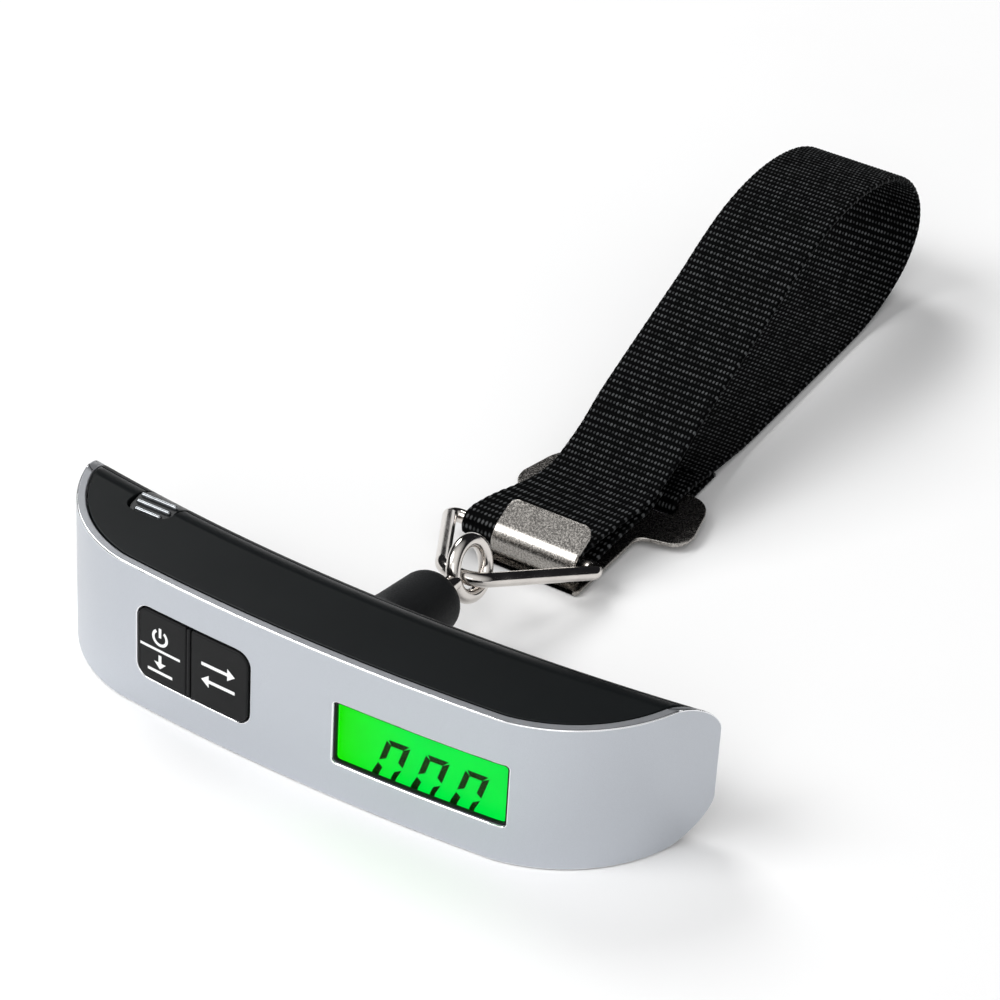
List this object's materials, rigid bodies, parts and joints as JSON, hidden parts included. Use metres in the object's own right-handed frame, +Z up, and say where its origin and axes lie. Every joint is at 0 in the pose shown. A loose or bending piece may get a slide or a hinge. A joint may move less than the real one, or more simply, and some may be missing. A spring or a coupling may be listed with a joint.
{
  "type": "digital luggage scale",
  "caption": "Handheld weighing scale with a bowed grip body, keys and a lit display, a neck eye, a wire triangle, a hook plate and a webbing loop that holds a bag's handle.",
  "frame": {"origin": "under the middle of the whole object's box, on the surface that it stands on", "axes": "+X along the body, to the right for a person facing the display; +Y from the body's front towards the far end of the strap; +Z up"},
  "size_m": [0.15, 0.2532, 0.0429],
  "materials": {
    "silver_paint": "satin silver paint on moulded plastic",
    "satin_black": "satin black moulded plastic",
    "grained_black": "finely grained black moulded plastic",
    "black_rubber": "matt silicone rubber",
    "clear_window": "clear polished acrylic",
    "display_cell": "liquid crystal cell, lit green from behind",
    "white_plastic": "white moulded plastic",
    "green_board": "glass epoxy board with green solder mask",
    "black_resin": "black potting resin",
    "plated_steel": "polished nickel plate",
    "zinc_steel": "zinc plated steel",
    "beam_aluminium": "machined aluminium",
    "nut_brass": "turned brass",
    "nylon_webbing": "black woven nylon webbing"
  },
  "bodies": {
    "scale_body": {"band_shell": "silver_paint", "top_panel": "satin_black", "bottom_panel": "satin_black", "rear_cover": "grained_black", "neck_bush": "white_plastic", "battery_tray": "grained_black", "coin_cell": "zinc_steel", "contact_positive": "plated_steel", "contact_negative": "plated_steel", "power_key_dome": "zinc_steel", "unit_key_dome": "zinc_steel", "lcd_lens": "clear_window", "lcd_glass": "display_cell", "backlight": "white_plastic", "zebra_strip": "black_rubber", "circuit_board": "green_board", "chip_blob": "black_resin", "board_screw_1": "zinc_steel", "board_screw_2": "zinc_steel", "inner_frame": "grained_black", "load_cell": "beam_aluminium", "load_cell_screw_left": "zinc_steel", "load_cell_screw_right": "zinc_steel", "gauge_cover": "white_plastic", "gauge_lead": "black_rubber", "case_screw_1": "zinc_steel", "case_screw_2": "zinc_steel", "case_screw_3": "zinc_steel", "case_screw_4": "zinc_steel"},
    "power_key": {"power_key": "black_rubber"},
    "unit_key": {"unit_key": "black_rubber"},
    "battery_door": {"battery_door": "satin_black"},
    "pull": {"pull_eye": "plated_steel", "pull_nut": "nut_brass"},
    "triangle": {"triangle_ring": "plated_steel"},
    "hook": {"hook_plate": "plated_steel"},
    "strap": {"strap_webbing": "nylon_webbing"}
  },
  "joints": [
    {"name": "power_key_press", "type": "slide", "parent": "scale_body", "child": "power_key", "axis": [0.0724, 0.9974, 0], "range_m": [0, 0.0006], "stiffness_N_per_m": 1500},
    {"name": "unit_key_press", "type": "slide", "parent": "scale_body", "child": "unit_key", "axis": [0.0408, 0.9992, 0], "range_m": [0, 0.0006], "stiffness_N_per_m": 1500},
    {"name": "battery_door_pull", "type": "slide", "parent": "scale_body", "child": "battery_door", "axis": [0, 1, 0], "range_m": [0, 0.012]},
    {"name": "pull_swivel", "type": "hinge", "parent": "scale_body", "child": "pull", "pos_m": [0, -0.09055, 0.01675], "axis": [0, 1, 0], "continuous": true},
    {"name": "triangle_swing", "type": "hinge", "parent": "pull", "child": "triangle", "pos_m": [0, -0.06385, 0.01675], "axis": [0.9613, 0, 0.2756], "range_deg": [-60, 60]},
    {"name": "strap_swing", "type": "hinge", "parent": "triangle", "child": "strap", "pos_m": [-0.0047, -0.03355, 0.0052], "axis": [1, 0, 0], "range_deg": [-45, 45]},
    {"name": "hook_swing", "type": "hinge", "parent": "triangle", "child": "hook", "pos_m": [-0.0047, -0.03355, 0.0052], "axis": [1, 0, 0], "range_deg": [-45, 45]}
  ],
  "couplings": [
    {"joint": "hook_swing", "follows": "strap_swing", "ratio": 1}
  ]
}
